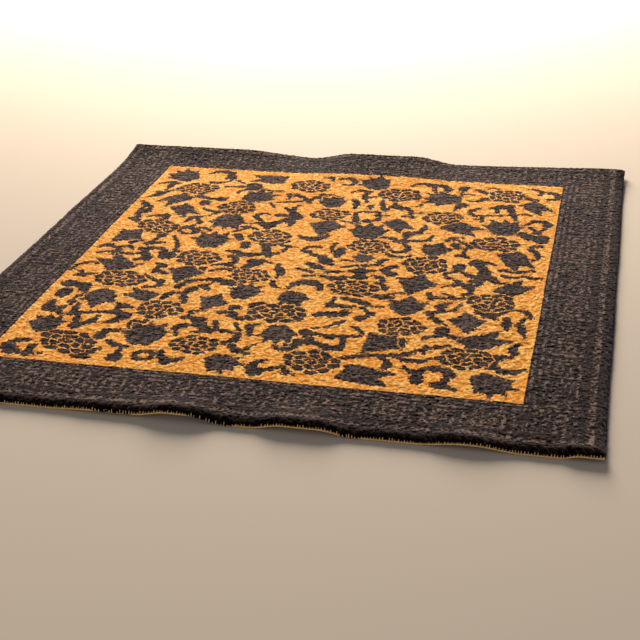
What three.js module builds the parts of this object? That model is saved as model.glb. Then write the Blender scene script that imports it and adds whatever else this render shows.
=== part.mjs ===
// Rectangular hand-knotted pile carpet, lying flat with its ends lifted in places.
// Millimetres, +Z up, X along the near end, Y from the near end to the far end.
// The origin is on the floor under the middle of the carpet.

import * as THREE from 'three';

// Driving dimensions of the carpet as it lies
const width = 1500;
const length = 1556;
const thickness = 15;

// Slow waves in the outline and in the pile's top
const edgeWave = 1.5;
const sideWaves = 3;
const topWave = 0.7;
const topWaveLength = 430;

// Edging cord sewn under the pile's overhang at both ends
const cordDiameter = 3;
const cordInset = 1;
const cordSides = 8;
const gap = 0.3;

// Cells of the top and of the underside, and how much they crowd towards the edges
const cellsAcross = 60;
const cellsAlong = 28;
const crowdingAcross = 0.2;
const crowdingAlong = 0.7;

// Places where an end lifts off the floor: along the end it is highest from one X to the other and
// fades over a length on both sides, and it sinks to nothing over its reach into the carpet.
const lifts = [
  { end: 'far', from: -800, to: -390, fade: 210, height: 15.8, reach: 190 },
  { end: 'far', from: -45, to: 145, fade: 130, height: 19.3, reach: 310 },
  { end: 'far', from: 740, to: 800, fade: 470, height: 11, reach: 180 },
  { end: 'near', from: -260, to: -190, fade: 110, height: 3.8, reach: 110 },
  { end: 'near', from: -100, to: -65, fade: 80, height: 14, reach: 130 },
  { end: 'near', from: 130, to: 205, fade: 65, height: 9.8, reach: 120 },
  { end: 'near', from: 490, to: 505, fade: 95, height: 8.5, reach: 110 },
  { end: 'near', from: 705, to: 760, fade: 32, height: 7, reach: 90 },
];

// Rounded side of the pile, from the top down: inset from the outline and height over the underside.
// The ends step in at the bottom, where the edging cord lies.
const cordSeat = cordInset + cordDiameter + gap;
const seatHeight = cordDiameter + gap;
const rimRows = [
  { inset: 10, height: thickness, endInset: 10, endHeight: thickness },
  { inset: 4.5, height: 14, endInset: 4.5, endHeight: 14 },
  { inset: 1.2, height: 11.5, endInset: 1.2, endHeight: 11.5 },
  { inset: 0, height: 8, endInset: 0, endHeight: 8 },
  { inset: 1, height: 4, endInset: 1, endHeight: 4 },
  { inset: 2, height: 2, endInset: cordSeat, endHeight: seatHeight },
  { inset: 3, height: 0, endInset: cordSeat, endHeight: 0 },
];
const topRow = 0;
const bottomRow = rimRows.length - 1;

// Smooth step from 0 to 1
function ease(t) {
  const c = Math.min(Math.max(t, 0), 1);
  return c * c * (3 - 2 * c);
}

// Height of the underside over the floor
function liftAt(x, v) {
  let height = 0;
  for (const lift of lifts) {
    const fromEnd = ((lift.end === 'far' ? 1 - v : 1 + v) * length) / 2;
    const rise = ease((x - lift.from) / lift.fade + 1);
    const fall = ease((lift.to - x) / lift.fade + 1);
    const inward = Math.max(1 - fromEnd / lift.reach, 0);
    height += lift.height * rise * fall * inward * inward;
  }
  return height;
}

// Cell lines from -1 to 1, closer together near the edges
function stations(cells, crowding) {
  const list = [];
  for (let i = 0; i <= cells; i += 1) {
    const t = (2 * i) / cells - 1;
    list.push((1 - crowding) * t + crowding * Math.sin((t * Math.PI) / 2));
  }
  return list;
}

// Point of the carpet for u across and v along, both from -1 to 1, inset from the outline
function place(u, v, sideInset, endInset, height) {
  const wave = (edgeWave * (1 - Math.cos(sideWaves * Math.PI * (1 - v)))) / 2;
  const halfWidth = width / 2 - wave;
  const x = u * (halfWidth - sideInset);
  const y = v * (length / 2 - endInset);
  return [x, y, height + liftAt(u * halfWidth, v)];
}

// Low unevenness of the pile's top, nothing at the rim
function unevenness(u, v) {
  const x = (u * width) / 2;
  const y = (v * length) / 2;
  const k = (2 * Math.PI) / topWaveLength;
  const fade = (1 - u ** 4) * (1 - v ** 4);
  return topWave * fade * (Math.sin(k * (x + 0.4 * y)) + Math.sin(k * (0.8 * y - 0.5 * x) + 1));
}

// Cell indices around the rim, once round against the clock
function rimLoop() {
  const loop = [];
  for (let i = 0; i < cellsAcross; i += 1) loop.push([i, 0]);
  for (let j = 0; j < cellsAlong; j += 1) loop.push([cellsAcross, j]);
  for (let i = cellsAcross; i > 0; i -= 1) loop.push([i, cellsAlong]);
  for (let j = cellsAlong; j > 0; j -= 1) loop.push([0, j]);
  return loop;
}

function solidFrom(positions, triangles) {
  const geometry = new THREE.BufferGeometry();
  geometry.setAttribute('position', new THREE.Float32BufferAttribute(positions.flat(), 3));
  geometry.setIndex(triangles.flat());
  geometry.computeVertexNormals();
  return geometry;
}

// The carpet: a top grid, a grid for the underside, and the rows of the rounded rim between them
function carpetGeometry() {
  const across = stations(cellsAcross, crowdingAcross);
  const along = stations(cellsAlong, crowdingAlong);
  const positions = [];
  const triangles = [];

  const grid = (row, uneven) => {
    const start = positions.length;
    const { inset, height, endInset } = rimRows[row];
    for (const v of along) {
      for (const u of across) {
        const z = height + (uneven ? unevenness(u, v) : 0);
        positions.push(place(u, v, inset, endInset, z));
      }
    }
    return (i, j) => start + j * (cellsAcross + 1) + i;
  };
  const top = grid(topRow, true);
  const bottom = grid(bottomRow, false);

  for (let j = 0; j < cellsAlong; j += 1) {
    for (let i = 0; i < cellsAcross; i += 1) {
      triangles.push([top(i, j), top(i + 1, j), top(i + 1, j + 1)]);
      triangles.push([top(i, j), top(i + 1, j + 1), top(i, j + 1)]);
      triangles.push([bottom(i, j), bottom(i + 1, j + 1), bottom(i + 1, j)]);
      triangles.push([bottom(i, j), bottom(i, j + 1), bottom(i + 1, j + 1)]);
    }
  }

  const loop = rimLoop();
  let above = loop.map(([i, j]) => top(i, j));
  for (let row = 1; row <= bottomRow; row += 1) {
    let below;
    if (row === bottomRow) {
      below = loop.map(([i, j]) => bottom(i, j));
    } else {
      const { inset, height, endInset, endHeight } = rimRows[row];
      below = loop.map(([i, j]) => {
        const atEnd = j === 0 || j === cellsAlong;
        positions.push(place(across[i], along[j], inset, endInset, atEnd ? endHeight : height));
        return positions.length - 1;
      });
    }
    loop.forEach((_, n) => {
      const m = (n + 1) % loop.length;
      triangles.push([above[n], below[n], below[m]]);
      triangles.push([above[n], below[m], above[m]]);
    });
    above = below;
  }
  return solidFrom(positions, triangles);
}

// Edging cord of one end: a flat-sided round section carried along the end, with closed tips
function cordGeometry(v) {
  const across = stations(cellsAcross, crowdingAcross);
  const radius = cordDiameter / 2;
  const corner = radius / Math.cos(Math.PI / cordSides);
  const positions = [];
  const triangles = [];
  for (const u of across) {
    for (let k = 0; k < cordSides; k += 1) {
      const angle = (2 * Math.PI * (k + 0.5)) / cordSides;
      const inset = cordInset + radius + corner * Math.cos(angle) * v;
      positions.push(place(u, v, cordInset + radius, inset, radius + corner * Math.sin(angle)));
    }
  }
  const ring = (i, k) => i * cordSides + (k % cordSides);
  for (let i = 0; i < cellsAcross; i += 1) {
    for (let k = 0; k < cordSides; k += 1) {
      triangles.push([ring(i, k), ring(i + 1, k), ring(i + 1, k + 1)]);
      triangles.push([ring(i, k), ring(i + 1, k + 1), ring(i, k + 1)]);
    }
  }
  for (let k = 1; k < cordSides - 1; k += 1) {
    triangles.push([ring(0, 0), ring(0, k), ring(0, k + 1)]);
    triangles.push([ring(cellsAcross, 0), ring(cellsAcross, k + 1), ring(cellsAcross, k)]);
  }
  return solidFrom(positions, triangles);
}

const pileWool = new THREE.MeshStandardMaterial({ color: '#8a6030', roughness: 0.95, metalness: 0 });
const goldenYarn = new THREE.MeshStandardMaterial({ color: '#c98f3c', roughness: 0.85, metalness: 0 });

function named(name, geometry, material) {
  const mesh = new THREE.Mesh(geometry, material);
  mesh.name = name;
  return mesh;
}

const carpet = new THREE.Group();
carpet.add(named('carpet', carpetGeometry(), pileWool));
carpet.add(named('near_overcast', cordGeometry(-1), goldenYarn));
carpet.add(named('far_overcast', cordGeometry(1), goldenYarn));

export default carpet;
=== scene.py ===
# Hand-knotted wool carpet: golden field with peonies, leaves and tendrils, dark border with a fret.
# It lies on the floor and its two ends lift off it in places. Arrays are in millimetres, Blender in metres.
import math

import bpy
import numpy as np
from mathutils import Matrix, Vector


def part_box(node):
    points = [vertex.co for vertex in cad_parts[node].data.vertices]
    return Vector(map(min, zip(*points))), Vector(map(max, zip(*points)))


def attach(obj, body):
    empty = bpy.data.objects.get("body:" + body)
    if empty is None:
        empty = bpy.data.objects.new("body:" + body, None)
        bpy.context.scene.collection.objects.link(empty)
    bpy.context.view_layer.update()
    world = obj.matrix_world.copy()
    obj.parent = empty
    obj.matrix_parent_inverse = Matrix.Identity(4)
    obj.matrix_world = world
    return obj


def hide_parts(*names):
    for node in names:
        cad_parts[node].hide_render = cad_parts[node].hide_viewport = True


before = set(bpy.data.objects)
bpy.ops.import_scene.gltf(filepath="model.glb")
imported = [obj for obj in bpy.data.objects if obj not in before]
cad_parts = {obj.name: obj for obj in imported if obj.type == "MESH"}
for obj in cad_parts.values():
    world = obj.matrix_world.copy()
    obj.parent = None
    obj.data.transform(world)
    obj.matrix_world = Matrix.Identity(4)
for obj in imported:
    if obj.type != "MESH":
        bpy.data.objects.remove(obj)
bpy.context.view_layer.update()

mm = 0.001
print("stage: frame loaded")

# Camera at the photograph's viewing angle, for a square picture
camera = {
    "place": (0.7332, -2.8365, 1.2987),
    "turnLeft": 14.078,  # degrees from straight ahead along Y
    "tiltDown": 26.288,
    "roll": -1.830,
    "lens": 72.08,
    "sensor": 36.0,
    "clipEnd": 50,
}


def buildCamera():
    turn, tilt, roll = (math.radians(camera[name]) for name in ("turnLeft", "tiltDown", "roll"))
    ahead = Vector((-math.sin(turn) * math.cos(tilt), math.cos(turn) * math.cos(tilt), -math.sin(tilt)))
    level = Vector((math.cos(turn), math.sin(turn), 0))
    upright = level.cross(ahead)
    right = level * math.cos(roll) + upright * math.sin(roll)
    up = upright * math.cos(roll) - level * math.sin(roll)
    data = bpy.data.cameras.new("camera")
    data.lens = camera["lens"]
    data.sensor_width = camera["sensor"]
    data.clip_end = camera["clipEnd"]
    eye = bpy.data.objects.new("camera", data)
    bpy.context.scene.collection.objects.link(eye)
    turned = Matrix((right, up, -ahead)).transposed().to_4x4()
    eye.matrix_world = Matrix.Translation(camera["place"]) @ turned
    bpy.context.scene.camera = eye


buildCamera()
print("stage: camera set")

# Form of the carpet as it lies, the same as its solid's
low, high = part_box("carpet")
form = {
    "width": (high[0] - low[0]) / mm,
    "length": (high[1] - low[1]) / mm,
    "sideWave": 1.5,
    "sideWaves": 3,
    "topWave": 0.7,
    "topWaveLength": 430,
}
# Places where an end lifts: end (1 far, -1 near), highest from, to, fade on both sides, height, reach
lifts = [
    (1, -800, -390, 210, 15.8, 190),
    (1, -45, 145, 130, 19.3, 310),
    (1, 740, 800, 470, 11, 180),
    (-1, -260, -190, 110, 3.8, 110),
    (-1, -100, -65, 80, 14, 130),
    (-1, 130, 205, 65, 9.8, 120),
    (-1, 490, 505, 95, 8.5, 110),
    (-1, 705, 760, 32, 7, 90),
]


# Smooth step: 3 t^2 - 2 t^3 between 0 and 1
def ease(t):
    c = np.clip(t, 0, 1)
    return c * c * (3 - 2 * c)


# Height of the underside: each lift is its height times a smooth step up and one down along the end,
# times the square of what is left of its reach
def liftAt(x, v):
    height = np.zeros(np.broadcast(x, v).shape)
    for end, start, stop, fade, rise, reach in lifts:
        fromEnd = (1 - end * v) * form["length"] / 2
        along = ease((x - start) / fade + 1) * ease((stop - x) / fade + 1)
        height += rise * along * np.maximum(1 - fromEnd / reach, 0) ** 2
    return height


# Half the width at v: the sides draw in by a slow cosine wave
def halfWidthAt(v):
    wave = form["sideWave"] * (1 - np.cos(form["sideWaves"] * np.pi * (1 - v))) / 2
    return form["width"] / 2 - wave


# Point for u across and v along, both from -1 to 1: inset from the outline, lifted with the underside
def place(u, v, sideInset, endInset, height):
    half = halfWidthAt(v)
    x = u * (half - sideInset)
    y = v * (form["length"] / 2 - endInset)
    z = height + liftAt(u * half, v)
    return np.stack(np.broadcast_arrays(x, y, z), axis=-1)


# Low unevenness of the top: two crossing sine waves that fade towards the rim
def unevenness(u, v):
    x = u * form["width"] / 2
    y = v * form["length"] / 2
    k = 2 * np.pi / form["topWaveLength"]
    fade = (1 - u ** 4) * (1 - v ** 4)
    return form["topWave"] * fade * (np.sin(k * (x + 0.4 * y)) + np.sin(k * (0.8 * y - 0.5 * x) + 1))


# Side of the pile from the top down: inset and height at a side, at an end over the edging cord, and
# where the pile hangs down over the cord
rim = {
    "rows": 10,
    "profile": [
        (16, 15, 16, 15, 16, 15),
        (11.5, 14.3, 11.5, 14.3, 11.5, 14.2),
        (6, 12, 6, 12, 5.6, 11.6),
        (2, 9, 2, 9, 1.2, 8),
        (0, 6, 1.0, 6.8, -0.6, 5),
        (1, 3.6, 2.3, 4.8, -0.5, 2.6),
        (2, 2.2, 4.6, 3.4, 0.8, 0.6),
    ],
    # Places where it hangs: end, from, to, fade on both sides
    "hangs": [(-1, -255, -185, 18), (-1, -55, 25, 22), (-1, 250, 285, 12)],
}


# How far the pile hangs over the cord, 0 to 1: a smooth step up and one down along the end
def hangAt(x, v):
    hang = np.zeros(np.broadcast(x, v).shape)
    for end, start, stop, fade in rim["hangs"]:
        hang += (end * v > 0) * ease((x - start) / fade + 1) * ease((stop - x) / fade + 1)
    return hang


# Value noise: random numbers on a coarse grid, joined by smooth steps
def softNoise(rng, rows, columns, cell):
    coarse = rng.uniform(-1, 1, (int(rows / cell) + 2, int(columns / cell) + 2))
    r = np.arange(rows) / cell
    c = np.arange(columns) / cell
    r0 = r.astype(int)
    c0 = c.astype(int)
    fr = ease(r - r0)[:, None]
    fc = ease(c - c0)[None, :]
    near = coarse[r0][:, c0] * (1 - fc) + coarse[r0][:, c0 + 1] * fc
    far = coarse[r0 + 1][:, c0] * (1 - fc) + coarse[r0 + 1][:, c0 + 1] * fc
    return near * (1 - fr) + far * fr


# Puts arrays into a mesh: points in millimetres, a list of face tables, each with one row for a face,
# and UV corners in tables of the same shapes, for the textures that a copy of the carpet carries
def makePiece(name, points, faces, smooth=True, uvs=None):
    mesh = bpy.data.meshes.new(name)
    corners = np.concatenate([np.asarray(table).ravel() for table in faces])
    sizes = np.concatenate([np.full(len(table), np.shape(table)[1]) for table in faces])
    mesh.vertices.add(len(points))
    mesh.vertices.foreach_set("co", (np.asarray(points) * mm).ravel())
    mesh.loops.add(len(corners))
    mesh.loops.foreach_set("vertex_index", corners)
    mesh.polygons.add(len(sizes))
    mesh.polygons.foreach_set("loop_start", np.cumsum(sizes) - sizes)
    mesh.update(calc_edges=True)
    mesh.polygons.foreach_set("use_smooth", np.broadcast_to(smooth, len(sizes)))
    if uvs:
        layer = mesh.uv_layers.new(name="OFBake")
        layer.uv.foreach_set("vector", np.concatenate([table.reshape(-1, 2) for table in uvs]).ravel())
    piece = bpy.data.objects.new(name, mesh)
    bpy.context.scene.collection.objects.link(piece)
    return piece


# Three numbers for each face corner: yarn and shade of its face, and how far its own point stands out,
# which the wool material uses as painted shade in the gaps and painted highlight on the tips
def paint(piece, yarn, standsAndPaintedShade, shade):
    sizes = np.zeros(len(yarn), int)
    piece.data.polygons.foreach_get("loop_total", sizes)
    colours = np.ones((len(standsAndPaintedShade), 4))
    colours[:, 0] = np.repeat(yarn, sizes)
    colours[:, 1] = standsAndPaintedShade
    colours[:, 2] = np.repeat(shade, sizes)
    layer = piece.data.color_attributes.new("chart", "FLOAT_COLOR", "CORNER")
    layer.data.foreach_set("color", colours.ravel())


# sRGB hex to linear colour
def linear(hexText):
    c = np.array([int(hexText[k:k + 2], 16) for k in (1, 3, 5)]) / 255
    return (*np.where(c <= 0.04045, c / 12.92, ((c + 0.055) / 1.055) ** 2.4), 1.0)


# Adds a node: settings are its properties, inputs are values or the outputs that are linked to it
def addNode(tree, kind, settings=None, **inputs):
    node = tree.nodes.new("ShaderNode" + kind)
    for name, value in (settings or {}).items():
        setattr(node, name, value)
    for name, value in inputs.items():
        socket = node.inputs[int(name[1:])] if name[0] == "i" and name[1:].isdigit() else node.inputs[name]
        if isinstance(value, bpy.types.NodeSocket):
            tree.links.new(value, socket)
        else:
            socket.default_value = value
    return node


def newMaterial(name):
    material = bpy.data.materials.new(name)
    material.use_nodes = True
    material.node_tree.nodes.clear()
    return material, material.node_tree


# The pattern, in millimetres from the carpet's middle
pattern = {
    "cellsAcross": 600,  # two for each knot: knots of 5 mm, a little coarser than real ones, to show
    "cellsAlong": 620,
    "fieldSide": 584,
    "fieldNear": -609,
    "fieldFar": 625,
    "ragged": 1.8,  # how far knots stray at a motif's outline, and the peonies' and the border's share
    "peonyShare": 0.6,
    "borderShare": 0.5,
    "leafReach": 1.6,  # past the longest tooth, in radii
    "seed": 7,
}
# Each knot's own shade, by chance and in soft patches: width of the patches in cells, weight
shades = {
    "middle": 0.5,
    "byKnot": 0.14,
    "byPatch": 0.12,
    "patches": [(40, 1), (12, 0.6)],
    "range": (0.1, 0.74),
}
yarns = {"field": 0, "stem": 1, "greyMotif": 2, "motif": 3, "border": 4, "fret": 5, "outerBand": 6}


# Peony: rings of petals round a heart. Each ring ends in scallops, one for a petal, and thin lines of
# field part the rings and the petals. Slow sine waves across it keep the petals from being all alike
def peony(x, y, across, along):
    wander, k = peonyForm["wander"], 1 / peonyForm["wanderLength"]
    x, y = x + wander * np.sin(k * y + across), y + wander * np.sin(k * x + along)
    angle = np.arctan2(y / along, x / across)
    r = np.hypot(x / across, y / along) * 2
    line = peonyForm["line"] * 2 / (across + along)
    inside = np.zeros(r.shape, bool)
    start = 0
    for stop, petals, phase in peonyForm["rings"]:
        wave = petals * (angle + phase) / 2
        edge = stop - peonyForm["scallop"] * (1 - np.abs(np.cos(wave)))
        seam = np.abs(np.sin(wave + math.pi / 2)) * 2 / petals * r < line
        inside |= (r > start + line) & (r < edge - line) & ~seam
        start = edge
    return inside


# Leaf: a closed outline of radii that change evenly from one angle to the next. Its depth stretches
# its teeth and notches away from a middle radius, or draws them in
def leaf(x, y, outline, size):
    angle = np.degrees(np.arctan2(y, x)) % 360
    middle, depth, corners = leafOutlines[outline]
    angles, radii = np.array(corners, float).T
    radii = middle + depth * (radii - middle)
    return np.hypot(x, y) < size * np.interp(angle, angles, radii, period=360)


# Tendril: discs along a path whose heading turns evenly and, with curl, ever faster; the width runs
# through its values at the start, the middle and the end
def tendril(x, y, length, turn, first, middle, last, curl=0):
    t = np.linspace(0, 1, tendrilForm["discs"])
    heading = np.radians(turn * t + curl * t * t)
    px = np.cumsum(np.cos(heading)) * length / len(t)
    py = np.cumsum(np.sin(heading)) * length / len(t)
    half = np.interp(t, (0, 0.5, 1), (first, middle, last)) / 2
    lumps = max(1, length // tendrilForm["lumpSpacing"])
    half *= 1 + tendrilForm["lumpHeight"] * np.cos(2 * np.pi * t * lumps)
    return ((x[..., None] - px) ** 2 + (y[..., None] - py) ** 2 < half ** 2).any(axis=-1)


# Rings of a peony: outer radius (1 is its edge), petals, turned by (radians)
peonyForm = {
    "line": 2.9,
    "scallop": 0.09,
    "rings": [(0.3, 2, 0.4), (0.66, 6, 0.2), (1.05, 10, 0.5)],
    "wander": 3.5,  # millimetres, and the length of the waves by a radian
    "wanderLength": 11,
}
tendrilForm = {"discs": 24, "lumpHeight": 0.16, "lumpSpacing": 24}
# Leaf outlines: middle radius, depth, and for each corner its angle from the tip in degrees and radius
leafOutlines = {
    "spade": (1, 0.84, [
        (0, 1.25), (14, 0.85), (30, 0.76), (40, 0.6), (52, 0.95), (64, 1.0), (72, 0.7), (95, 0.72),
        (120, 0.66), (150, 0.68), (180, 0.85), (210, 0.68), (240, 0.66), (265, 0.72), (288, 0.66),
        (296, 1.02), (308, 0.98), (320, 0.6), (330, 0.76), (346, 0.85),
    ]),
    "trident": (1, 0.84, [
        (0, 1.3), (12, 0.95), (28, 0.68), (44, 0.7), (58, 1.05), (70, 1.0), (86, 0.66), (110, 0.72),
        (140, 0.66), (165, 0.75), (180, 0.92), (195, 0.75), (220, 0.66), (250, 0.7), (274, 0.66),
        (290, 1.0), (302, 1.05), (316, 0.7), (332, 0.68), (348, 0.95),
    ]),
    "maple": (0.85, 1.75, [
        (0, 1.1), (10, 0.88), (20, 0.85), (34, 1.14), (44, 0.92), (60, 0.82), (72, 1.02), (84, 0.84),
        (110, 0.78), (140, 0.82), (165, 0.88), (180, 0.8), (200, 0.88), (225, 0.8), (255, 0.78),
        (280, 0.84), (292, 1.0), (302, 0.84), (318, 0.9), (328, 1.12), (340, 0.86), (350, 0.88),
    ]),
    "swallow": (0.85, 1.15, [
        (0, 0.7), (14, 0.95), (22, 1.34), (30, 1.08), (48, 0.74), (75, 0.66), (100, 0.7), (130, 0.8),
        (150, 0.98), (165, 0.8), (180, 0.76), (198, 0.85), (215, 1.0), (235, 0.75), (265, 0.66),
        (300, 0.72), (325, 0.95), (338, 1.28), (348, 0.95),
    ]),
    "shield": (0.85, 1.7, [
        (0, 1.08), (12, 0.86), (35, 0.78), (55, 0.84), (70, 1.0), (80, 0.86), (110, 0.74), (140, 0.78),
        (165, 0.94), (180, 1.16), (192, 0.92), (220, 0.78), (250, 0.8), (278, 0.98), (288, 0.84),
        (315, 0.76), (345, 0.88),
    ]),
}
# Peonies: x, y, across, along, turned by (degrees)
peonies = [
    (-440, 455, 122, 88, 0), (-123, 520, 120, 94, -15), (142, 492, 126, 96, 0), (437, 530, 102, 98, -25),
    (-286, 330, 108, 92, 10), (-20, 318, 110, 82, 0), (284, 340, 110, 90, 0), (-458, 163, 126, 88, -20),
    (-143, 145, 116, 92, 0), (128, 116, 110, 90, 0), (442, 182, 128, 92, 0), (-283, -25, 118, 96, 0),
    (288, 28, 114, 110, 0), (-122, -108, 100, 84, 0), (-435, -176, 136, 92, -8), (140, -135, 128, 86, -10),
    (470, -162, 114, 96, 0), (-280, -325, 112, 96, 0), (-2, -297, 140, 96, 0), (287, -318, 112, 92, 0),
    (-430, -514, 146, 98, -22), (-143, -483, 114, 88, 0), (128, -512, 128, 100, -22),
    (447, -442, 122, 96, 0),
]
# Leaves: outline, x, y, radius, turned by
leaves = [
    ("maple", -508, 548, 53, 135), ("swallow", -247, 562, 53, 178), ("maple", 62, 562, 51, 120),
    ("maple", 272, 482, 56, 180), ("swallow", 520, 456, 48, -50), ("swallow", -470, 368, 50, 230),
    ("maple", -253, 413, 53, 55), ("maple", -31, 404, 44, 100), ("swallow", -427, 288, 47, -50),
    ("maple", -281, 234, 55, -88), ("shield", -12, 232, 52, 90), ("maple", 107, 207, 57, 95),
    ("swallow", 172, 276, 46, -50), ("swallow", 337, 277, 54, -25), ("maple", 451, 286, 55, 90),
    ("shield", -515, 92, 46, 60), ("maple", -285, 88, 55, 95), ("swallow", 500, 96, 54, -65),
    ("trident", 296, 124, 46, 75), ("maple", 130, 38, 29, 90), ("swallow", -475, -92, 55, 135),
    ("shield", -288, -118, 48, 90), ("shield", 283, -82, 53, 85), ("swallow", 510, -85, 48, 50),
    ("maple", -110, -202, 45, 85), ("spade", 8, -210, 48, -60), ("spade", 282, -215, 54, 88),
    ("spade", -444, -280, 53, -88), ("swallow", -345, -258, 42, 160), ("shield", -170, -265, 40, 80),
    ("shield", 427, -270, 45, 100), ("swallow", 470, -360, 55, 35), ("maple", 22, -392, 47, -80),
    ("shield", 257, -402, 50, 60), ("maple", -511, -446, 46, 100), ("maple", -268, -456, 58, 95),
    ("maple", -64, -549, 45, -40), ("swallow", 243, -550, 57, -12), ("maple", 509, -540, 52, -50),
]
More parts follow.
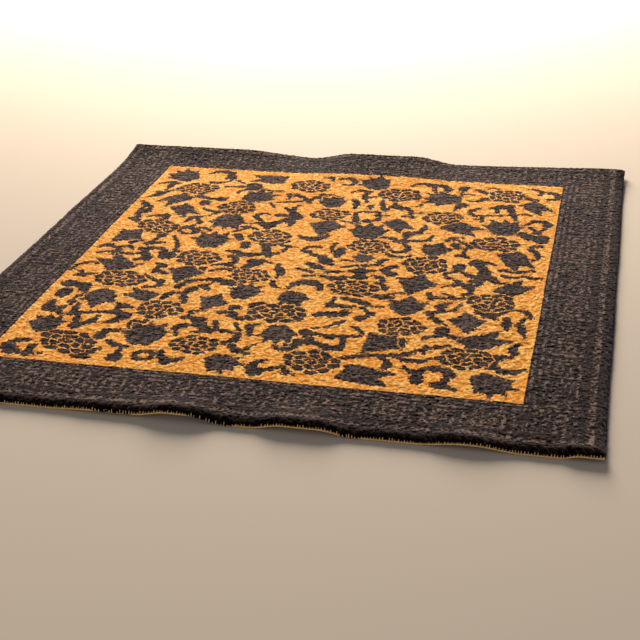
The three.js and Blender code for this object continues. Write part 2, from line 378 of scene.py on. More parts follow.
# Tendrils: x, y, heading, length, turn, width at the start, the middle and the end, and any curl. Angles
# are in degrees
tendrils = [
    # Far left
    (-446, 580, 60, 125, -150, 14, 28, 16, -40), (-421, 509, 5, 105, 30, 20, 12, 26, 110),
    (-348, 540, -40, 34, 0, 14, 12, 12), (-298, 508, 60, 40, -150, 22, 18, 12),
    (-275, 505, -60, 95, 75, 16, 12, 12), (-102, 586, 45, 52, -150, 8, 20, 12),
    (-52, 578, 50, 115, -190, 16, 22, 10, -60), (-566, 480, 35, 55, -60, 12, 18, 18),
    (-530, 495, -80, 62, -20, 22, 20, 10), (-480, 434, 178, 70, 40, 12, 12, 20, 60),
    (-545, 412, -60, 55, -70, 22, 24, 8, -60), (-420, 398, -30, 85, 10, 26, 16, 22, 60),
    (-345, 372, 95, 28, 40, 20, 14, 8), (-368, 482, 10, 100, 20, 14, 20, 24, -60),
    (-290, 475, -150, 50, 20, 22, 14, 10, 40), (-172, 447, 10, 50, -60, 16, 22, 16),
    (-166, 450, -80, 38, 0, 18, 14, 8), (-130, 436, -40, 55, -20, 18, 20, 14),
    (-98, 402, 85, 110, -60, 14, 16, 10, -60), (-72, 438, 90, 25, 0, 30, 28, 16),
    (-190, 384, 10, 100, 10, 12, 14, 14), (-205, 378, -60, 40, 10, 10, 14, 6),
    (-385, 352, -90, 14, 0, 30, 32, 26), (-376, 306, -40, 50, 30, 10, 16, 12),
    (-338, 264, 75, 40, -20, 10, 22, 14), (-350, 292, -10, 90, 15, 10, 10, 12),
    (-153, 352, -55, 40, 0, 10, 16, 12), (-112, 368, 190, 22, 60, 12, 12, 12),
    (-130, 358, -85, 75, 25, 14, 20, 40), (-158, 292, 0, 16, 0, 24, 28, 22),
    (-215, 282, 80, 38, -110, 14, 18, 10), (-218, 276, -55, 45, 10, 18, 22, 10),
    (-570, 340, -50, 60, 10, 10, 24, 14), (-545, 300, -95, 105, 30, 16, 22, 14),
    (-524, 302, -80, 40, -40, 6, 18, 30), (-552, 208, -50, 62, 40, 16, 14, 20),
    (-508, 222, 55, 60, -110, 14, 20, 22), (-462, 240, -85, 50, 0, 26, 24, 10),
    (-398, 198, 70, 50, -10, 10, 18, 14), (-395, 235, 10, 60, 30, 12, 16, 10),
    (-352, 200, 110, 40, 20, 18, 20, 10), (-398, 150, 35, 50, 20, 14, 22, 12),
    (-375, 170, -25, 45, -20, 14, 24, 18), (-345, 172, 10, 45, -80, 10, 18, 10),
    (-222, 222, 20, 60, -20, 8, 16, 20), (-185, 228, -50, 45, -10, 26, 24, 12),
    (-138, 262, 0, 60, -110, 22, 26, 10), (-165, 215, 50, 55, 20, 30, 26, 14),
    (-262, 152, 30, 60, 20, 8, 16, 14), (-250, 192, 25, 62, -60, 12, 20, 12),
    (-230, 140, -50, 36, -20, 22, 30, 14), (-12, 188, -10, 75, -190, 12, 16, 12),
    (-70, 165, -60, 105, 120, 12, 32, 14, 40), (-192, 92, -80, 32, 0, 24, 32, 16),
    (-400, 165, -80, 100, 60, 12, 12, 22, 140), (-395, 110, -60, 125, 10, 10, 16, 14, -60),
    (-345, 5, -150, 45, -40, 14, 14, 18), (-425, 112, -100, 70, -10, 28, 14, 20),
    (-490, 48, 30, 35, 0, 22, 20, 10), (-445, 48, 15, 40, 0, 24, 20, 14),
    (-452, 10, 30, 75, -60, 20, 22, 16), (-562, 8, 65, 50, -130, 14, 22, 12),
    (-512, 12, 50, 50, -120, 14, 20, 12), (-140, 98, -75, 85, 10, 30, 24, 22),
    (-135, 78, 25, 60, 30, 16, 14, 18), (-98, 92, -20, 45, 20, 12, 18, 10),
    (-75, 88, -90, 35, -30, 16, 18, 14), (-165, 18, 10, 75, 10, 26, 20, 16),
    (-32, 60, 100, 55, -110, 16, 16, 20), (-20, 62, -60, 60, 70, 20, 18, 14),
    (-222, 30, 20, 50, -90, 14, 22, 26),
    # Far right
    (163, 560, 70, 110, -170, 12, 20, 14), (220, 580, 20, 115, -150, 22, 26, 14, -60),
    (313, 572, -90, 14, 0, 32, 34, 26), (311, 560, -90, 48, 0, 16, 12, 12),
    (322, 522, 40, 24, -60, 10, 12, 10), (330, 480, -30, 60, 100, 10, 14, 26),
    (346, 566, -10, 45, -60, 12, 26, 10), (382, 582, 40, 36, -100, 10, 16, 10),
    (478, 542, -60, 52, 40, 22, 20, 22), (484, 586, 40, 75, -150, 8, 20, 16),
    (524, 562, 45, 120, -190, 10, 26, 14, -40), (324, 444, -120, 50, 20, 34, 20, 6),
    (375, 424, 200, 75, 130, 14, 22, 14), (375, 370, 5, 85, 10, 12, 14, 12),
    (402, 432, 20, 60, 10, 16, 30, 20), (452, 448, -75, 130, 0, 24, 18, 8),
    (418, 432, -80, 34, 0, 22, 16, 10), (474, 388, 50, 48, -90, 12, 14, 8),
    (388, 372, -88, 46, 0, 12, 14, 12), (390, 345, 180, 22, 0, 14, 12, 10), (4, 490, 60, 60, -90, 8, 18, 16),
    (48, 500, -100, 75, 40, 18, 18, 14), (55, 455, 50, 45, -60, 12, 12, 8),
    (24, 435, -60, 65, -40, 22, 22, 8), (75, 398, -80, 24, 0, 20, 16, 8),
    (102, 448, -85, 85, 20, 12, 20, 12), (140, 430, -100, 50, -10, 12, 16, 14),
    (213, 455, -75, 45, -60, 8, 14, 10), (148, 405, -20, 50, -20, 26, 28, 14),
    (188, 385, -70, 55, -10, 12, 16, 12), (202, 362, 15, 25, 0, 12, 12, 12),
    (200, 338, 180, 22, 0, 14, 12, 10), (42, 338, 40, 70, -50, 14, 14, 16),
    (105, 338, -40, 70, -140, 18, 16, 24), (112, 330, 10, 30, 20, 14, 12, 8),
    (46, 340, -80, 80, 10, 14, 20, 22), (66, 270, 180, 45, -20, 14, 14, 8),
    (245, 285, -80, 85, -20, 12, 22, 26, -80), (495, 308, 60, 60, -20, 14, 12, 16),
    (520, 352, 40, 60, -130, 14, 22, 26), (520, 308, -60, 40, 0, 14, 18, 20),
    (557, 312, -95, 45, -60, 12, 14, 16), (498, 262, -30, 34, -20, 30, 44, 34),
    (554, 244, -90, 22, 0, 34, 40, 30), (360, 210, 160, 55, 100, 12, 14, 12),
    (335, 197, -30, 70, -30, 14, 14, 14), (385, 168, -80, 75, -190, 14, 14, 24),
    (358, 100, -20, 32, 0, 20, 18, 10), (370, 128, -80, 30, 0, 12, 12, 12),
    (553, 188, 190, 40, 90, 22, 20, 16), (530, 168, -40, 60, -50, 16, 16, 14),
    (560, 125, -95, 65, -100, 14, 14, 16), (278, 215, -100, 35, -20, 12, 14, 14),
    (275, 184, -160, 95, -10, 14, 18, 14), (200, 222, -50, 50, -70, 14, 20, 12),
    (152, 180, 20, 50, -80, 16, 20, 14), (212, 150, -40, 30, 0, 14, 12, 8),
    (182, 108, -60, 85, 190, 14, 20, 16), (172, 100, -80, 95, 130, 12, 16, 12),
    (188, 42, 190, 50, 150, 14, 18, 10), (42, 122, -110, 50, 40, 14, 14, 12),
    (62, 90, -90, 52, 0, 20, 32, 16), (80, 18, 5, 32, 0, 12, 14, 14), (22, 30, -50, 55, 0, 20, 34, 16),
    (372, 34, -90, 18, 0, 30, 36, 26), (412, 62, -70, 60, 20, 40, 26, 24),
    (425, 64, 10, 38, -70, 20, 18, 10), (468, 18, 40, 50, -70, 14, 20, 18), (498, 20, 0, 55, 30, 18, 14, 14),
    # Near right
    (0, -12, -35, 55, 0, 22, 30, 12), (-5, -52, -20, 30, 0, 14, 14, 10), (8, -85, 10, 30, 0, 14, 12, 10),
    (88, -20, 20, 36, 0, 12, 18, 12), (140, -2, 15, 28, 0, 18, 16, 10), (55, -58, 30, 40, -30, 14, 22, 10),
    (112, -40, 10, 60, 0, 18, 26, 14), (135, -25, -80, 55, 0, 24, 26, 22),
    (48, -80, -20, 60, 20, 14, 24, 14), (95, -80, 10, 60, 0, 16, 16, 18),
    (170, -58, 10, 50, -110, 12, 20, 14), (216, 4, 190, 66, 160, 22, 24, 26),
    (340, -12, -75, 60, 60, 12, 14, 14), (375, -58, -20, 80, -70, 14, 18, 18),
    (405, -125, -20, 40, 20, 18, 16, 10), (342, -16, 35, 40, 0, 12, 12, 16),
    (348, -95, 60, 55, -80, 12, 18, 14), (322, -132, -90, 30, 40, 16, 20, 18),
    (330, -155, 0, 75, 10, 18, 18, 16), (354, -128, -30, 40, 0, 10, 14, 10),
    (415, -50, 0, 10, 0, 24, 26, 22), (437, -38, -80, 60, -90, 12, 14, 28),
    (385, -2, -50, 80, 60, 16, 24, 28), (436, 6, -90, 20, 0, 30, 36, 30), (480, -5, -40, 40, 60, 16, 18, 14),
    (452, -32, -60, 50, 80, 14, 18, 12), (532, 0, -50, 45, 80, 14, 20, 12),
    (-14, -160, 85, 120, -150, 14, 34, 14, -20), (185, -97, 0, 45, -90, 12, 18, 22),
    (192, -165, -30, 50, 40, 18, 26, 14), (212, -170, 40, 60, -20, 12, 14, 10),
    (108, -190, -95, 45, 0, 10, 16, 22), (105, -235, -10, 60, 20, 26, 20, 14),
    (132, -195, -15, 60, 0, 22, 24, 16), (172, -210, -50, 60, 70, 14, 16, 12),
    (182, -238, -50, 45, 0, 14, 14, 12), (214, -262, -120, 40, -20, 14, 20, 26),
    (148, -264, -90, 14, 0, 24, 28, 22), (88, -290, 40, 40, -60, 24, 36, 26),
    (143, -318, -110, 65, -60, 14, 14, 10), (145, -330, 60, 20, 0, 14, 18, 14),
    (402, -183, -95, 32, -30, 12, 14, 12), (395, -214, -155, 65, -10, 14, 14, 16),
    (340, -245, -60, 30, 20, 18, 14, 14), (345, -264, -35, 48, 0, 14, 22, 6),
    (448, -208, -30, 50, -20, 26, 34, 16), (490, -225, 50, 45, 0, 14, 16, 12),
    (380, -178, 190, 60, 130, 14, 24, 16), (528, -190, 0, 60, -90, 10, 18, 12),
    (553, -230, -110, 40, 0, 12, 14, 14), (545, -262, -75, 65, 0, 20, 22, 10),
    (514, -238, -85, 55, 0, 20, 26, 10), (345, -368, 50, 90, -80, 16, 18, 26),
    (380, -318, -90, 14, 0, 30, 34, 26), (178, -335, -30, 45, -30, 8, 20, 12),
    (300, -380, -85, 45, 0, 20, 26, 10), (78, -378, -15, 70, 0, 26, 16, 18),
    (140, -392, 10, 65, 0, 18, 18, 14), (82, -392, -50, 50, 0, 16, 22, 18),
    (56, -444, 40, 50, -40, 20, 30, 24), (118, -425, -50, 60, 60, 18, 26, 24),
    (172, -440, 70, 40, 40, 24, 20, 12), (32, -455, -60, 60, 130, 14, 22, 16),
    (185, -487, 25, 60, -10, 14, 18, 16), (240, -462, 0, 60, 10, 16, 16, 14),
    (290, -452, 0, 65, 60, 14, 18, 14), (300, -454, -50, 90, 100, 16, 22, 12),
    (358, -442, 90, 40, 0, 10, 12, 12), (362, -410, 30, 50, -10, 14, 16, 12),
    (270, -468, -30, 70, -110, 14, 22, 12), (36, -524, 190, 75, 130, 12, 24, 30),
    (22, -572, 20, 65, 20, 26, 16, 12), (75, -545, -80, 48, 70, 14, 22, 10),
    (553, -354, -130, 35, 40, 10, 24, 20), (550, -395, -90, 35, -60, 16, 14, 12),
    (540, -420, 175, 40, 0, 14, 18, 14), (518, -425, -110, 50, 0, 20, 18, 18),
    (512, -468, -60, 75, 120, 20, 26, 12), (325, -500, -60, 45, 60, 10, 18, 16),
    (345, -522, 40, 55, -20, 16, 20, 26), (390, -498, 10, 50, -80, 26, 26, 22),
    (360, -542, -90, 14, 0, 28, 32, 26), (422, -520, -100, 50, 10, 20, 20, 24),
    (405, -565, -20, 42, 0, 28, 26, 14),
    # Near left
    (-556, -30, 25, 50, -10, 12, 16, 16), (-508, 0, -80, 30, 0, 18, 24, 24),
    (-500, -25, -5, 60, 25, 20, 14, 16), (-440, 8, -65, 60, 0, 20, 24, 30),
    (-446, -60, 25, 40, 0, 12, 22, 20), (-525, -92, 170, 85, 110, 16, 16, 14),
    (-552, -145, -50, 35, 0, 14, 14, 14), (-552, -174, 20, 45, 0, 14, 20, 12),
    (-374, -25, 0, 12, 0, 36, 40, 34), (-452, -112, 40, 50, 0, 30, 26, 12),
    (-380, -73, -5, 35, -60, 10, 22, 18), (-366, -95, -80, 30, 0, 16, 18, 18),
    (-365, -115, -25, 35, 0, 18, 22, 14), (-385, -143, -40, 70, 10, 12, 14, 16),
    (-332, -170, -45, 68, -150, 18, 20, 16), (-250, -84, -90, 30, 0, 20, 24, 12),
    (-238, -66, 40, 75, -90, 10, 18, 12), (-228, -102, 60, 88, -120, 14, 18, 16),
    (-278, -202, 80, 45, -50, 20, 18, 14), (-268, -166, 20, 80, 0, 16, 16, 16),
    (-184, -150, -20, 48, 0, 22, 34, 14), (-222, -185, -30, 30, -20, 20, 26, 10),
    (-198, -150, -110, 45, 0, 12, 12, 12), (-172, -118, -20, 34, 0, 14, 18, 12),
    (-205, 0, -20, 60, -110, 20, 18, 20), (-150, -18, 10, 60, -30, 22, 20, 12),
    (-130, -30, -120, 55, 0, 34, 26, 8), (-72, -28, -80, 60, 20, 14, 24, 14),
    (-48, -60, -100, 50, 0, 12, 18, 10), (-25, -48, 0, 50, -40, 10, 16, 12),
    (-60, -125, -95, 50, 80, 12, 16, 10), (-550, -225, 0, 10, 0, 34, 36, 32),
    (-508, -228, -70, 32, 0, 36, 34, 20), (-540, -266, -90, 26, 0, 34, 44, 24),
    (-478, -270, -140, 60, 50, 22, 14, 12), (-545, -325, -110, 70, 110, 20, 34, 18),
    (-512, -358, 60, 45, 0, 18, 14, 12), (-282, -235, -110, 35, 0, 20, 26, 16),
    (-238, -208, -130, 35, 0, 30, 24, 18), (-252, -232, -70, 50, 0, 20, 22, 18),
    (-112, -285, 0, 8, 0, 24, 26, 22), (-142, -318, 30, 45, -60, 14, 24, 18),
    (-108, -325, -40, 60, 60, 18, 20, 16), (-62, -332, 100, 70, -10, 18, 20, 24),
    (-78, -264, 40, 50, -50, 14, 16, 8), (-208, -325, 20, 40, -10, 10, 20, 10),
    (-200, -325, -95, 30, 0, 14, 16, 18), (-215, -355, 0, 50, 0, 12, 18, 20),
    (-182, -360, -50, 58, 0, 24, 32, 26), (-132, -362, -70, 40, 0, 14, 18, 14),
    (-86, -362, -60, 40, 0, 12, 14, 10), (-28, -358, -150, 30, 0, 10, 18, 16),
    (-48, -375, -75, 45, 0, 22, 22, 10), (-478, -325, -90, 55, 10, 12, 20, 22),
    (-465, -375, 15, 100, 0, 18, 14, 16), (-390, -312, -20, 48, 0, 12, 24, 10),
    (-378, -325, -110, 35, 0, 14, 12, 12), (-508, -385, -10, 40, 40, 10, 16, 14),
    (-458, -385, -75, 55, 0, 14, 20, 26), (-440, -432, 20, 65, 80, 24, 22, 12),
    (-378, -352, -25, 35, 0, 24, 30, 26), (-350, -372, -110, 55, -40, 32, 24, 8),
    (-312, -400, -90, 10, 0, 30, 34, 30), (-300, -398, 60, 18, 0, 20, 16, 12),
    (-368, -478, 95, 35, -40, 30, 24, 18), (-365, -448, 10, 60, 0, 20, 20, 24),
    (-514, -524, 175, 55, 70, 14, 24, 20), (-552, -560, -60, 50, 60, 30, 34, 14),
    (-498, -548, -85, 42, 0, 20, 20, 18), (-490, -584, 10, 28, 0, 16, 14, 10),
    (-395, -572, -20, 45, 20, 12, 22, 12), (-380, -575, 50, 55, 0, 20, 22, 14),
    (-342, -492, -50, 60, 50, 12, 20, 14), (-298, -515, -90, 52, 0, 10, 14, 36),
    (-228, -530, 160, 118, 320, 14, 18, 14), (-205, -526, -80, 50, 60, 18, 22, 22),
    (-185, -570, 0, 45, 70, 24, 24, 14), (-218, -415, 60, 55, -70, 14, 24, 10),
    (-212, -412, -70, 35, 0, 20, 16, 8), (-172, -424, 10, 45, 0, 10, 18, 14),
    (-130, -405, 0, 70, -20, 16, 18, 16), (-65, -412, -60, 62, -100, 18, 22, 16),
    (-62, -470, -70, 60, 70, 18, 24, 14), (-25, -480, 60, 30, 0, 16, 12, 8),
]


# Places every motif on the chart of yarn numbers, each with a thin margin of field round it
def chartField(x, y, shift, yarn):
    inField = (np.abs(x) < pattern["fieldSide"]) & (y > pattern["fieldNear"]) & (y < pattern["fieldFar"])
    yarn[inField] = yarns["field"]
    withMargin = (yarns["motif"], yarns["greyMotif"])

    def stamp(shape, cx, cy, turned, reach, number, *sizes):
        rows = np.flatnonzero(np.abs(y[:, 0] - cy) < reach)
        columns = np.flatnonzero(np.abs(x[0] - cx) < reach)
        window = (slice(rows[0], rows[-1] + 1), slice(columns[0], columns[-1] + 1))
        c = math.cos(math.radians(turned))
        s = math.sin(math.radians(turned))
        calm = pattern["peonyShare"] if number == yarns["motif"] else 1
        dx = x[window] + calm * shift[0][window] - cx
        dy = y[window] + calm * shift[1][window] - cy
        inside = shape(c * dx + s * dy, c * dy - s * dx, *sizes) & inField[window]
        if number in withMargin:
            margin = inside.copy()
            for axis, step in ((0, 1), (0, -1), (1, 1), (1, -1)):
                margin |= np.roll(inside, step, axis)
            yarn[window][margin & inField[window]] = yarns["field"]
        yarn[window][inside] = number

    for cx, cy, turned, length, turn, first, middle, last, *curl in tendrils:
        widths = (first, middle, last)
        stamp(tendril, cx, cy, turned, length + max(widths), yarns["stem"], length, turn, *widths, *curl)
    for outline, cx, cy, size, turned in leaves:
        stamp(leaf, cx, cy, turned, size * pattern["leafReach"], yarns["greyMotif"], outline, size)
    for cx, cy, across, along, turned in peonies:
        stamp(peony, cx, cy, turned, across, yarns["motif"], across, along)
    return yarn


# Fret unit of the border, given as a chart: one letter for each cell of the fret
fretRepeat = [
    "##########..",
    "#........#..",
    "#.######.#..",
    "#.#....#.#..",
    "#.#.##.#.###",
    "#.#..#.#....",
    "#.####.#.###",
    "#......#.#..",
    "########.#..",
    ".........#..",
]
# Stripes of the border, out from the field: the fret, light guard stripes, and the dark outer band
border = {"fretCell": 8.2, "fretFrom": 34, "guards": [(6, 13), (20, 27), (128, 142)], "bandFrom": 147}


def chartBorder(x, y, yarn):
    sideWidth = form["width"] / 2 - pattern["fieldSide"]
    fromSide = np.abs(x) - pattern["fieldSide"]
    nearWidth = form["length"] / 2 + pattern["fieldNear"]
    farWidth = form["length"] / 2 - pattern["fieldFar"]
    fromNear = (pattern["fieldNear"] - y) / nearWidth * sideWidth
    fromFar = (y - pattern["fieldFar"]) / farWidth * sideWidth
    fromEnd = np.maximum(fromNear, fromFar)
    fromField = np.maximum(fromSide, fromEnd)
    inBorder = fromField >= 0
    yarn[inBorder] = yarns["border"]
    for start, stop in border["guards"]:
        yarn[inBorder & (fromField > start) & (fromField < stop)] = yarns["fret"]
    unit = np.array([[letter == "#" for letter in row] for row in fretRepeat])
    alongBorder = np.where(fromEnd > fromSide, x, y)
    row = ((fromField - border["fretFrom"]) / border["fretCell"]).astype(int)
    column = np.mod(np.floor(alongBorder / border["fretCell"]), unit.shape[1]).astype(int)
    inFret = inBorder & (fromField > border["fretFrom"]) & (row < unit.shape[0])
    light = unit[np.clip(row, 0, unit.shape[0] - 1), column]
    yarn[inFret & light] = yarns["fret"]
    yarn[fromField > border["bandFrom"]] = yarns["outerBand"]
    return yarn


# The chart covers the flat top, in from the rim: yarn numbers, and each knot's own shade
def chartCarpet():
    rng = np.random.default_rng(pattern["seed"])
    rows, columns = pattern["cellsAlong"], pattern["cellsAcross"]
    topInset = rim["profile"][0][0]
    x, y = np.meshgrid(
        ((np.arange(columns) + 0.5) / columns * 2 - 1) * (form["width"] / 2 - topInset),
        ((np.arange(rows) + 0.5) / rows * 2 - 1) * (form["length"] / 2 - topInset),
    )
    yarn = np.zeros(x.shape, int)
    knots = rng.normal(0, 1, (3, rows // 2, columns // 2))
    shiftX, shiftY, shade = np.repeat(np.repeat(knots, 2, axis=1), 2, axis=2)
    shift = (shiftX * pattern["ragged"], shiftY * pattern["ragged"])
    calm = pattern["borderShare"]
    chartBorder(x + calm * shift[0], y + calm * shift[1], yarn)
    chartField(x, y, shift, yarn)
    slow = sum(weight * softNoise(rng, rows, columns, cell) for cell, weight in shades["patches"])
    shade = shades["middle"] + shades["byKnot"] * shade + shades["byPatch"] * slow
    return yarn, np.clip(shade, *shades["range"])


yarnChart, knotShade = chartCarpet()
print("stage: pattern charted")

# Pile: the tops of the knots, and their sides where the pile ends
pile = {
    "strips": 5,
    "tuft": 1.2,  # how far the tufts stand out and the gaps between them go in
    "tuftCells": 1.9,
    "fibre": 0.55,
    "clump": 0.4,
    "clumpCells": (5, 13),
    "lean": 0.8,
    "leanCells": 1.7,
    "nap": -0.8,  # the tips lie towards the near end
    "tipRows": 3,  # rim rows that lean too
    "fibreSeen": 0.18,  # the fibre's part in how far a point counts as standing out
    "deepAt": 5,  # down the side it counts less, as painted shade, and as nothing at this height
    "fullAt": 12,
    "shoulder": 0.35,  # and over the rim's edge a little more, as a painted highlight
    "shoulderFrom": 13.5,
    "leastHeight": 0.2,
    "bottom": 2.2,
    "seed": 11,
}


# Even stations along a profile: inset, height and the outward normal of each rim row
def rimStations(insets, heights, rows):
    corner = np.concatenate([[0], np.cumsum(np.hypot(np.diff(insets), np.diff(heights)))])
    s = np.linspace(0, corner[-1], rows + 1)
    inset = np.interp(s, corner, insets)
    height = np.interp(s, corner, heights)
    slopeOut = -np.gradient(inset, s)
    slopeUp = np.gradient(height, s)
    size = np.hypot(slopeOut, slopeUp)
    return inset, height, -slopeUp / size, slopeOut / size


# Every vertex of the pile on one unfolded grid, the rim rows outside the top's own rows and columns,
# and how far each stands out, from 0 in a gap to 1 on a tip. That value is painted shade in the gaps
# and down the pile's side, and a painted highlight on the tips and over the rim's edge
def pileSurface():
    rng = np.random.default_rng(pile["seed"])
    across, along, k = pattern["cellsAcross"], pattern["cellsAlong"], rim["rows"]
    rows, columns = along + 1 + 2 * k, across + 1 + 2 * k
    b = np.arange(rows) - k
    a = np.arange(columns) - k
    outA = np.maximum(np.maximum(-a, a - across), 0)[None, :] + np.zeros((rows, 1), int)
    outB = np.maximum(np.maximum(-b, b - along), 0)[:, None] + np.zeros((1, columns), int)
    u = (np.clip(a, 0, across) / across * 2 - 1)[None, :] + np.zeros((rows, 1))
    v = (np.clip(b, 0, along) / along * 2 - 1)[:, None] + np.zeros((1, columns))
    onEnd = outB > 0
    row = np.where(onEnd, outB, outA)
    table = np.array(rim["profile"], float).T
    side, end, hung = (np.array(rimStations(table[n], table[n + 1], k)) for n in (0, 2, 4))
    hang = hangAt(u * form["width"] / 2, v)
    onSide, onEndRow = side[:, row], end[:, row] + (hung - end)[:, row] * hang
    inset, height, outward, upward = np.where(onEnd, onEndRow, onSide)
    points = place(u, v, side[0][row], onEndRow[0], height)
    points[..., 2] += unevenness(u, v)

    # Relief: tufts about one knot wide at random, clumps of a few knots, and loose fibre
    tufts = softNoise(rng, rows, columns, pile["tuftCells"])
    fibre = rng.normal(0, 1, (rows, columns))
    relief = pile["tuft"] * tufts + pile["fibre"] * fibre
    relief = relief + pile["clump"] * sum(softNoise(rng, rows, columns, cell) for cell in pile["clumpCells"])
    points[..., 0] += relief * np.sign(u) * outward * (outA > 0) * ~onEnd
    points[..., 1] += relief * np.sign(v) * outward * onEnd
    points[..., 2] += relief * np.where(row > 0, upward, 1)
    # Lean: the tips are pushed over at random, and all of them a little along the nap
    # How far a point stands out: it leans the tips, and it paints shade into the gaps and a highlight on the
    # tips
    standsAndPaintedShade = np.clip(0.5 + 0.5 * tufts + pile["fibreSeen"] * fibre, 0, 1)
    # Painted shade down the pile's side, less tip colour the lower a point is, and painted highlight over
    # the rim's edge
    edge = np.clip((height - pile["deepAt"]) / (pile["fullAt"] - pile["deepAt"]), 0, 1)
    edge = edge + pile["shoulder"] * (row > 0) * (height > pile["shoulderFrom"])
    top = standsAndPaintedShade * (row < pile["tipRows"])
    points[..., 0] += pile["lean"] * softNoise(rng, rows, columns, pile["leanCells"]) * top
    points[..., 1] += (pile["lean"] * softNoise(rng, rows, columns, pile["leanCells"]) + pile["nap"]) * top
    points[..., 2] = np.maximum(points[..., 2], pile["leastHeight"])
    last = row == k
    points[last, 2] = (liftAt(u * halfWidthAt(v), v) + height)[last]
    return points, np.clip(standsAndPaintedShade * edge, 0, 1)


# UV corners of a row of quads that runs over the whole width of a band, in the faces' corner order
def bandUv(count, low, high, order):
    j = np.arange(count)[:, None]
    corner = np.array([(0, high), (0, low), (1, low), (1, high)])[list(order)]
    return np.stack([(j + corner[:, 0]) / count, corner[:, 1] + 0.0 * j], axis=-1)


# UV corners of one many-sided face: its own two coordinates stretched over a box
def boxUv(flat, box):
    low, high = flat.min(axis=0), flat.max(axis=0)
    return (np.array(box[:2]) + (flat - low) / (high - low) * np.array(box[2:]))[None, :]


# Heights in the UV square of a strip's kinds of faces, from the bottom up
stripUv = {"top": 0.9, "walls": (0.91, 0.935), "wall": 0.02, "corners": 0.96, "sides": 0.973, "under": 0.985}


